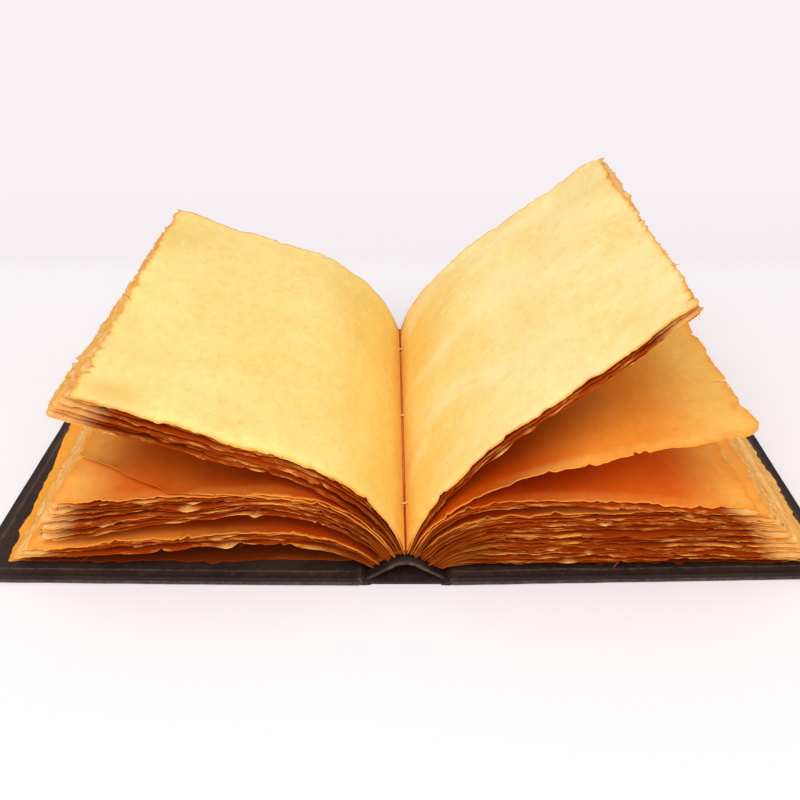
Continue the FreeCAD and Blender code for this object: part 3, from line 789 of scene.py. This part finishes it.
def stray_fibres():
    """Fibres that stand out of the torn tail, head and fore-edges of the closed leaves."""
    rng = np.random.default_rng(77)
    parts = []
    for name, side, first, last, leaves, _, skew in GROUPS:
        for _ in range(int(5 * leaves**0.75)):
            share = rng.uniform()
            path = leaf_path(between(first, last, share), 0.4)
            width = PAGE_WIDE + between(first, last, share)["extra"]
            where = rng.uniform()
            if where < 0.45:
                s, t = rng.uniform(12, width), 0.6 - PAGE_LONG / 2
                way_s, way_t = rng.normal(0, 0.8), -1.0
            elif where < 0.65:
                s, t = rng.uniform(12, width), PAGE_LONG / 2 - 0.6
                way_s, way_t = rng.normal(0, 0.8), 1.0
            else:
                s, t = width - 0.6, rng.uniform(-86, 86)
                way_s, way_t = 1.0, rng.normal(0, 0.8)
                s += skew * ((t + 89) / 178 - 0.25)
            long = rng.uniform(0.8, 2.6)
            bow, rise = rng.normal(0, 0.5), rng.normal(0.1, 0.45)
            line = []
            for step in np.linspace(0, 1, 5):
                at_s = s + long * step * way_s + bow * step**2
                r, z, lean = path(np.array([at_s]))
                lift = rise * step**1.5 * long * 0.6
                x = side * float(r[0] - lift * math.sin(lean[0]))
                line.append((x, t + long * step * way_t, float(z[0] + lift)))
            radius = rng.uniform(0.05, 0.11)
            parts.append(tube(line, radius * np.array([1, 1, 0.9, 0.75, 0.4]), 4))
    return joined(parts)


points, faces = stray_fibres()
mesh = bpy.data.meshes.new("stray_fibres")
mesh.from_pydata((points * MM).tolist(), [], faces)
mesh.polygons.foreach_set("use_smooth", [True] * len(mesh.polygons))
finished("stray_fibres", mesh, PAPERS["inner"], *plain_values(points, 0.0, 4.0))


def swept(section, stations):
    """A closed bar: a ring of (x, z) points swept along the spine."""
    ring = np.array(section)
    many = len(ring)
    points = np.array([(x, y, z) for y in stations for x, z in ring])
    faces = []
    for k in range(len(stations) - 1):
        for i in range(many):
            a, b = k * many + i, k * many + (i + 1) % many
            faces.append([a, a + many, b + many, b])
    return points, faces, many


def capped(points, faces, many, quads):
    """Both ends of a swept bar closed with faces between opposite points of the ring."""
    last = len(points) - many
    for loop in quads:
        faces.append(list(loop))
        faces.append([last + i for i in loop[::-1]])
    return points, faces


def strip_quads(across):
    """End faces of a ring that runs out over one surface and back under the other."""
    many = 2 * across
    return [(i, i + 1, many - 2 - i, many - 1 - i) for i in range(across - 1)]


thread = Nodes("waxed_thread")
place = thread.scaled(thread.add("ShaderNodeTexCoord").outputs["Object"], (1000, 1000, 1000))
plies = thread.noise(thread.scaled(place, (1.0, 3.0, 1.0)), 1.6, 3.0, 0.6)
thread_tone = thread.mix(plies, (0.8, 0.5, 0.2, 1), (0.95, 0.76, 0.46, 1))
thread_material = thread.surface(thread_tone, 0.6, thread.bump(plies, 0.0001, 0.7), specular=0.2)

STITCH_LONG, STITCH_LEVEL = 126.0, 12.3
THREAD_RADIUS = 0.2
# the innermost fold in section, from its notch outwards: x, and height over the arch's centre
GUTTER = [
    (0.0, 10.5), (0.07, 10.8), (0.18, 11.0), (0.4, 11.15), (0.7, 11.25), (0.9, 11.3), (1.1, 11.35)
]
GUTTER_FOOT = 9.8


def lean_at(y):
    return FOLD_LEAN * (y + PAGE_LONG / 2) / PAGE_LONG


def gutter():
    """The middle sheet's fold, drawn together to a thin crack."""
    wander = ragged(np.random.default_rng(5), [(40.0, 0.12), (15.0, 0.06)])
    half = [(x, ARCH_CENTRE + z) for x, z in GUTTER]
    top = [(-x, z) for x, z in half[::-1]] + half[1:]
    under = [(0.45 * x, ARCH_CENTRE + GUTTER_FOOT) for x, _ in top[::-1]]
    stations = np.linspace(-PAGE_LONG / 2 + 0.9, PAGE_LONG / 2 - 0.9, 120)
    points, faces, many = swept(top + under, stations)
    points[:, 0] += lean_at(points[:, 1]) + wander(points[:, 1])
    capped(points, faces, many, strip_quads(len(top)))
    mesh = bpy.data.meshes.new("gutter")
    mesh.from_pydata((points * MM).tolist(), [], faces)
    mesh.polygons.foreach_set("use_smooth", [True] * len(mesh.polygons))
    from_fold = np.abs(points[:, 0] - lean_at(points[:, 1]))
    sheets = np.stack([from_fold, points[:, 1], np.full(len(points), 9.0)], axis=-1)
    rims = np.tile([20.0, 0.0, 0.0], (len(points), 1))
    return finished("gutter", mesh, PAPERS["gutter"], sheets, rims)


gutter()


def sewing():
    """Thread low in the open fold, and the bit that shows at each of its three sewing holes."""
    run = np.linspace(-STITCH_LONG / 2, STITCH_LONG / 2, 90)
    line = [(lean_at(y), y, ARCH_CENTRE + GUTTER[0][1] + 0.1) for y in run]
    parts = [tube(line, [THREAD_RADIUS] * len(line), 6)]
    for at in (-STITCH_LONG / 2, 0.0, STITCH_LONG / 2):
        stub = [
            (lean_at(at) + x, at + 0.35 * x, ARCH_CENTRE + STITCH_LEVEL - 0.15 * math.cos(3 * x))
            for x in np.linspace(-1.3, 1.3, 9)
        ]
        parts.append(tube(stub, [0.1, 0.18, 0.25, 0.28, 0.28, 0.28, 0.25, 0.18, 0.1], 8))
    return joined(parts)


points, faces = sewing()
stitches = new_object("stitches", points, faces)
stitches.data.materials.append(thread_material)
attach(stitches, "text_block")
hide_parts("sewing_thread")


# ---- leather case ----


def leather_material(name, wear=1.0):
    """Thin dark leather: pores and fine creases, browned and greyed where it is rubbed, lighter where a
    highlight is painted, and near black where shade is painted.
    """
    nodes = Nodes(name)
    place = nodes.scaled(nodes.add("ShaderNodeTexCoord").outputs["Object"], (1000, 1000, 1000))
    rim = nodes.attribute("rim")
    split = nodes.add("ShaderNodeSeparateXYZ", None, Vector=rim.outputs["Vector"])
    worn, dark = split.outputs["X"], split.outputs["Y"]
    clouds = nodes.noise(place, 0.05, 5.0, 0.6)
    rubbed = nodes.noise(place, 0.45, 6.0, 0.7, 0.4)
    deep, plain = (0.026, 0.0125, 0.009, 1), (0.044, 0.022, 0.016, 1)
    colour = nodes.mix(nodes.ramp(clouds, 0.35, 0.65), deep, plain)
    tan = (0.1, 0.056, 0.04, 1)
    colour = nodes.mix(nodes.ramp(rubbed, 0.5, 0.75, 0.0, 0.5 * wear), colour, tan)
    # lighter where rubbed, and along edges and lines that carry a painted highlight
    scuffs_and_highlights = nodes.math("MULTIPLY", worn, nodes.ramp(rubbed, 0.38, 0.56, 0.15, 1.0))
    colour = nodes.mix(scuffs_and_highlights, colour, (0.16, 0.1, 0.075, 1))
    # painted shade: near black where the dark value is set
    colour = nodes.mix(dark, colour, (0.003, 0.0015, 0.001, 1))
    to_edge = {"feature": "DISTANCE_TO_EDGE"}
    pores = nodes.add("ShaderNodeTexVoronoi", to_edge, Vector=place, Scale=1.5)
    pore = nodes.ramp(pores.outputs["Distance"], 0.0, 0.12)
    creases = nodes.noise(nodes.scaled(place, (0.5, 2.2, 1.0)), 0.5, 4.0, 0.7, 1.2)
    pore_high, crease_high = (nodes.math("MULTIPLY", *pair) for pair in ((pore, 0.35), (creases, 1.2)))
    height = nodes.math("ADD", pore_high, crease_high)
    normal = nodes.bump(height, 0.00014, 0.8)
    rough = nodes.ramp(rubbed, 0.3, 0.7, 0.55, 0.72)
    return nodes.surface(colour, rough, normal, specular=0.22)


LEATHER = leather_material("leather")


def leather_piece(name, points, faces, node, body, worn=None, dark=None):
    """A leather object, with how rubbed and how strongly highlighted it is, and how much shade is painted
    on it, at each point.
    """
    obj = new_object(name, points, faces)
    none = np.zeros(len(points))
    rims = np.stack([none if worn is None else worn, none if dark is None else dark, none], axis=-1)
    layer = obj.data.attributes.new("rim", "FLOAT_VECTOR", "POINT")
    layer.data.foreach_set("vector", rims.astype(np.float32).ravel())
    obj.data.materials.append(LEATHER)
    if body:
        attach(obj, body)
    if node:
        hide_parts(node)
    return obj


def even_steps(low, high, pace, fine):
    """Grid lines from low to high, with finer ones this far in from both ends."""
    inner = np.linspace(low + fine[-1], high - fine[-1], max(2, int((high - low) / pace)))
    return np.concatenate([[low + e for e in fine[:-1]], inner, [high - e for e in fine[-2::-1]]])


def box_grid(xs, ys, zs):
    """Points and faces of a closed box with these grid lines."""
    ids, points, faces = {}, [], []

    def at(i, j, k):
        if (i, j, k) not in ids:
            ids[i, j, k] = len(points)
            points.append((xs[i], ys[j], zs[k]))
        return ids[i, j, k]

    nx, ny, nz = len(xs) - 1, len(ys) - 1, len(zs) - 1
    for i in range(nx):
        for j in range(ny):
            for k, way in ((0, -1), (nz, 1)):
                loop = [at(i, j, k), at(i + 1, j, k), at(i + 1, j + 1, k), at(i, j + 1, k)]
                faces.append(loop[::way])
    for k in range(nz):
        for i in range(nx):
            for j, way in ((0, 1), (ny, -1)):
                loop = [at(i, j, k), at(i + 1, j, k), at(i + 1, j, k + 1), at(i, j, k + 1)]
                faces.append(loop[::way])
        for j in range(ny):
            for i, way in ((0, -1), (nx, 1)):
                loop = [at(i, j, k), at(i, j + 1, k), at(i, j + 1, k + 1), at(i, j, k + 1)]
                faces.append(loop[::way])
    return np.array(points), faces


EDGE_ROUND, PLAN_ROUND = 0.7, 2.0
EDGE_LINES = [0.0, 0.2, 0.45, 0.7, 1.2, 1.8, 2.6, 3.3, 3.6, 3.85, 4.1, 4.35, 4.8, 5.5]
HEIGHT_LINES = [0.0, 0.06, 0.14, 0.24, 0.36, 0.5, 0.62, 0.7, 0.76, 0.82, 0.88, 0.94, 1.0]


def outer_end_side(x, middle):
    return np.sign(x) * (x - middle) > 0


def askew(side, x, y):
    """How far a cover's tail edge stands from a straight line."""
    reach = np.clip((np.abs(x) - COVER_INNER) / (COVER_OUTER - COVER_INNER), 0, 1)
    shift = (-0.4 + 3.7 * reach) if side > 0 else (-0.5 + 1.5 * reach**1.5)
    return shift * smooth(-y / COVER_HALF_LONG)


def cover_wrap(word, side, body):
    """Leather drawn round the board, with soft edges, small dents and a turned edge that is rubbed and
    carries a painted highlight, and with lines of painted shade.

    Its tail edge stands a little askew, nearer the leaves towards the fore-edge.
    """
    low_x, high_x = sorted((side * COVER_INNER, side * COVER_OUTER))
    xs = even_steps(low_x, high_x, 2.0, EDGE_LINES)
    ys = even_steps(-COVER_HALF_LONG, COVER_HALF_LONG, 2.2, EDGE_LINES)
    p, faces = box_grid(xs, ys, [COVER_THICK * share for share in HEIGHT_LINES])
    middle = np.array([(low_x + high_x) / 2, 0.0])
    half = np.array([(high_x - low_x) / 2, COVER_HALF_LONG])
    core = middle + np.clip(p[:, :2] - middle, -(half - PLAN_ROUND), half - PLAN_ROUND)
    over = (p[:, :2] - core) / PLAN_ROUND
    outer_end = outer_end_side(p[:, 0], middle[0])
    corner = (np.abs(over).min(axis=1) > 0) & outer_end
    u, v = over[:, 0], over[:, 1]
    squeezed = np.stack([u * np.sqrt(1 - v**2 / 2), v * np.sqrt(1 - u**2 / 2)], axis=1)
    p[corner, :2] = (core + squeezed * PLAN_ROUND)[corner]

    inward = half - np.abs(p[:, :2] - middle)
    from_middle = np.abs(p[:, 2] - COVER_THICK / 2)
    over_z = np.clip((from_middle - COVER_THICK / 2 + EDGE_ROUND) / EDGE_ROUND, 0, 0.999)
    pull = EDGE_ROUND * (1 - np.sqrt(1 - over_z**2))
    rows = wave_rows(21 + side, (60.0, 25.0, 9.0), (0.05, 0.04, 0.03))
    dent = wave(rows, p[:, 0], p[:, 1], 0)
    height = p[:, 2] / COVER_THICK
    groove_deep = 0.16 * (0.7 + 0.6 * np.sin(0.13 * p[:, 0] + side))
    groove = groove_deep * np.exp(-(((height - 0.72) / 0.1) ** 2))
    for axis in (0, 1):
        close = np.clip(1 - inward[:, axis] / 2.6, 0, 1)
        at_face = np.clip(1 - inward[:, axis] / 0.5, 0, 1)
        shrink = pull * close + (groove + 0.8 * np.abs(dent)) * at_face
        p[:, axis] -= np.sign(p[:, axis] - middle[axis]) * shrink
    outer_end = outer_end_side(p[:, 0], middle[0])
    edge_far = np.where(outer_end, np.minimum(inward[:, 0], inward[:, 1]), inward[:, 1])
    on_top = height > 0.5
    ridge = np.exp(-(((edge_far - 4.0 - 1.5 * dent) / 0.35) ** 2))
    bevel = smooth(1 - edge_far / 3.6)
    p[:, 2] += np.where(on_top, 0.16 * ridge - 0.3 * bevel - 0.3 * np.abs(dent), 0.0)
    p[:, 1] += askew(side, p[:, 0], p[:, 1])

    on_face = edge_far < 0.3
    # lighter on the top's ridge and in a line at mid height of the front face: rubbed leather with a
    # painted highlight; the face is also lighter towards its bottom, and the inner end rubbed by the fold
    line = np.exp(-(((height - 0.53) / 0.07) ** 2))
    worn = np.where(on_top, 0.6 * ridge, 0.0)
    worn = np.maximum(worn, (0.55 * smooth((0.5 - height) / 0.35) + 0.6 * line) * on_face)
    near_fold = np.clip(1 - (np.abs(p[:, 0]) - COVER_INNER) / 0.8, 0, 1)
    worn = np.maximum(worn, 0.7 * near_fold)
    # painted shade: dark on the top's bevel just behind the rounded edge, and in a line on the front face
    # near its top
    dark = np.where(on_top, 0.6 * smooth(edge_far / 0.8) * bevel, 0.0)
    dark = np.maximum(dark, 0.65 * np.exp(-(((height - 0.82) / 0.14) ** 2)) * on_face)
    return leather_piece(f"{word}_cover_wrap", p, faces, f"{word}_cover_leather", body, worn, dark)


SPINE_END_LINES = [0.0, 0.15, 0.4, 0.8, 1.5, 3.0]
STRIP_HALF_LONG, STRIP_THICK = 93.4, 0.8
LINER_HALF_LONG = 92.4


def spine_strip():
    xs = even_steps(-HINGE_HALF + 0.15, HINGE_HALF - 0.15, 1.0, [0.0, 0.2, 0.5, 1.0])
    stations = even_steps(-STRIP_HALF_LONG, STRIP_HALF_LONG, 2.0, SPINE_END_LINES)
    edge = np.clip(1 - (HINGE_HALF - 0.15 - np.abs(xs)) / 0.5, 0, 1)
    top = [(x, STRIP_THICK - 0.3 * e) for x, e in zip(xs, edge)]
    under = [(x, 0.25 * e) for x, e in zip(xs[::-1], edge[::-1])]
    points, faces, many = swept(top + under, stations)
    capped(points, faces, many, strip_quads(len(xs)))
    at_end = np.abs(points[:, 1]) > STRIP_HALF_LONG - 0.5
    worn = 0.35 * np.clip(1 - points[:, 2] / 0.5, 0, 1) * at_end
    return leather_piece("spine_strip", points, faces, "spine_leather", "text_block", worn)


LINER_EDGE = 0.25


def liner():
    """The arched strip: up from one foot, over the round top and down to the other."""
    shares = np.linspace(-1, 1, 61)

    def surface(height):
        rows = []
        for share in shares:
            x, z = arch_point(height, abs(share) * (arch_long(height) + 0.9))
            rows.append((math.copysign(x, share), z))
        return rows

    top = [(x, max(z, STRIP_THICK + 0.75)) for x, z in surface(LINER_THICK)]
    under = [(x, max(z, STRIP_THICK + 0.02)) for x, z in surface(0.0)[::-1]]
    stations = even_steps(-LINER_HALF_LONG, LINER_HALF_LONG, 2.0, SPINE_END_LINES)
    points, faces, many = swept(top + under, stations)
    capped(points, faces, many, strip_quads(len(shares)))
    end = np.abs(points[:, 1]) > LINER_HALF_LONG - 0.3
    lower = np.arange(len(points)) % many >= len(shares)
    # the lower edge at each end is light: rubbed, with a painted highlight along the front edge
    worn = 0.9 * (end & lower) + 0.25 * (end & ~lower)
    # painted shade: the liner goes near black behind its ends and down its sides, where it lies in shade
    # under the folds
    behind = smooth((LINER_HALF_LONG - 1.0 - np.abs(points[:, 1])) / 2.5)
    foot = smooth((np.abs(points[:, 0]) - 4.0) / 5.0)
    dark = 0.9 * np.maximum(behind, 0.8 * foot) * ~(end & lower)
    dents = wave(wave_rows(31, (30.0, 12.0), (0.06, 0.04)), points[:, 0], points[:, 1], 0)
    points[:, 2] += dents * (np.abs(points[:, 0]) < 10)
    return leather_piece("arched_liner", points, faces, "spine_liner", "text_block", worn, dark)


# a joint's skin in section: distance from the spine's middle, and height
JOINT_TOP = [
    (11.6, 0.8), (12.6, 0.86), (13.3, 1.0), (13.9, 1.35), (14.4, 1.9), (14.8, 2.5), (15.3, 2.95),
    (16.0, 3.1), (17.2, 3.04),
]
JOINT_UNDER = [
    (17.2, 2.7), (16.0, 2.4), (15.6, 1.6), (15.4, 0.6), (15.1, 0.12), (14.2, 0.04), (13.2, 0.04),
    (12.4, 0.1), (11.6, 0.3),
]


def finer(line, steps=3):
    """The same line with more points on it, rounded."""
    at = np.linspace(0, 1, len(line))
    wanted = np.linspace(0, 1, (len(line) - 1) * steps + 1)
    xs, zs = (np.interp(wanted, at, values) for values in zip(*line))
    for _ in range(2):
        xs[1:-1] = (xs[:-2] + 2 * xs[1:-1] + xs[2:]) / 4
        zs[1:-1] = (zs[:-2] + 2 * zs[1:-1] + zs[2:]) / 4
    return list(zip(xs, zs))


def joint_skin(word, side):
    """Thin leather across a hinge line, from the strip up over the cover's inner end."""
    top, under = finer(JOINT_TOP), finer(JOINT_UNDER)
    section = [(side * x, z) for x, z in top + under]
    stations = even_steps(-STRIP_HALF_LONG, STRIP_HALF_LONG, 2.0, SPINE_END_LINES)
    points, faces, many = swept(section, stations)
    capped(points, faces, many, strip_quads(len(top)))
    if side < 0:
        faces = [loop[::-1] for loop in faces]
    end = np.abs(points[:, 1]) > STRIP_HALF_LONG - 0.5
    worn = 0.75 * np.exp(-(((np.abs(points[:, 0]) - 15.0) / 0.5) ** 2)) * (0.3 + 0.7 * end)
    if side > 0:
        worn *= 0.3
    tail_shift = 0.55 * smooth(-points[:, 1] / COVER_HALF_LONG)
    points[:, 1] += 0.7 * np.sin(points[:, 1] * 0.09) * 0.1 - tail_shift
    skin = leather_piece(f"{word}_joint_skin", points, faces, None, None, worn)
    end = Vector((side * (HINGE_HALF + 1.1), 0, HINGE_HEIGHT)) * MM
    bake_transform(skin)
    return skin


def endpaper(word, side, body):
    """The sheet glued inside a cover, with torn edges and stray bits of them; its material paints it dark
    with the shade under the leaves, all but its outer end.
    """
    rng = np.random.default_rng(41 + side)
    low, high = COVER_INNER + 0.8, COVER_OUTER - 12.0
    half = COVER_HALF_LONG - 9.2
    last_rows = [high - 1.8, high - 0.8, high - 0.3, high]
    stations = np.concatenate([np.linspace(low, high - 3, 110), last_rows])
    rows_in = [0.0, 0.3, 0.8, 1.8, 3.0]
    inner = np.linspace(-half + 3.5, half - 3.5, 50)
    base = np.concatenate([[-half + e for e in rows_in], inner, [half - e for e in rows_in[::-1]]])
    s, t = np.meshgrid(stations, base, indexing="ij")
    fore, tail, head = (ragged(rng, TORN) for _ in range(3))
    tongue = nicks(rng, 9, 20, 130, 1.6, 5.0)
    fs = np.clip(1 - (high - s) / 3.0, 0, 1)
    es = np.clip(1 - (half - np.abs(t)) / 3.5, 0, 1)
    out = np.where(t < 0, tail(s) + tongue(s), head(s))
    edge_far = np.minimum(half - np.abs(t), high - s)
    flare = (5.5 if side < 0 else 3.0) * smooth((t + half) / 90.0)
    s_new = s + (fore(t) + 2.0 + flare) * fs
    t_new = t + np.sign(t) * out * es
    curl = 0.35 * np.abs(np.where(t < 0, head(s), tail(s))) * es**2
    top = COVER_THICK + 0.4 + curl - 0.2 * np.maximum(fs, es) ** 3
    under = np.full(s.shape, COVER_THICK - 0.12) + curl * 0.6
    points = np.concatenate([
        np.stack([side * s_new, t_new, top], axis=-1).reshape(-1, 3),
        np.stack([side * s_new, t_new, under], axis=-1).reshape(-1, 3),
    ])
    columns, rows = s.shape
    count = columns * rows
    faces = []
    way = 1 if side > 0 else -1
    for j in range(columns - 1):
        for k in range(rows - 1):
            a = j * rows + k
            loop = [a, a + rows, a + rows + 1, a + 1]
            faces.append(loop[::way])
            faces.append([i + count for i in loop[::-way]])
    ring = [j * rows for j in range(columns)] + [(columns - 1) * rows + k for k in range(1, rows)]
    ring += [j * rows + rows - 1 for j in range(columns - 2, -1, -1)] + list(range(rows - 2, 0, -1))
    for a, b in zip(ring, ring[1:] + ring[:1]):
        faces.append([b, a, a + count, b + count][::way])
    mesh = bpy.data.meshes.new(f"{word}_endpaper")
    mesh.from_pydata((points * MM).tolist(), [], faces)
    mesh.polygons.foreach_set("use_smooth", [True] * len(mesh.polygons))
    from_fold = np.abs(points[:, 0]) - 40.0
    sheets = np.stack([from_fold, points[:, 1], np.full(len(points), 500.0)], axis=-1)
    rims = np.zeros((len(points), 3))
    rims[:, 0] = np.concatenate([edge_far.ravel(), edge_far.ravel()])
    node = f"{word}_pastedown"
    return finished(f"{word}_endpaper", mesh, ENDPAPER, sheets, rims, body, node, "endpaper")


# painted shade: dark brown from the fold out to near the outer end, where the leaves above shade it
ENDPAPER = paper_material(
    "endpaper",
    [(96.0, (0.95, 0.45, 0.06, 1)), (84.0, (0.2, 0.03, 0.003, 1))],
    None,
    lit_band=0.0,
)
board = Nodes("greyboard")
place = board.scaled(board.add("ShaderNodeTexCoord").outputs["Object"], (1000, 1000, 1000))
pulp = board.noise(place, 0.9, 5.0, 0.7)
tone = board.mix(board.ramp(pulp, 0.35, 0.7), (0.42, 0.33, 0.22, 1), (0.58, 0.47, 0.33, 1))
board_material = board.surface(tone, 0.9, board.bump(pulp, 0.0001, 0.6), specular=0.15)


def board_core(word, side, body):
    """The board inside a cover, with the same stand as the leather round it."""
    xs = np.linspace(*sorted((side * (COVER_INNER + 1.0), side * (COVER_OUTER - 1.2))), 12)
    points, faces = box_grid(xs, [1.5 - COVER_HALF_LONG, COVER_HALF_LONG - 1.5], [0.8, COVER_THICK - 0.8])
    points[:, 1] += askew(side, points[:, 0], points[:, 1])
    obj = new_object(f"{word}_cover_core", points, faces, False)
    obj.data.materials.append(board_material)
    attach(obj, body)
    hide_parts(f"{word}_board")


for word, side, body in (("front", -1, "front_cover"), ("back", 1, "back_cover")):
    cover_wrap(word, side, body)
    endpaper(word, side, body)
    joint_skin(word, side)
    board_core(word, side, body)
spine_strip()
liner()
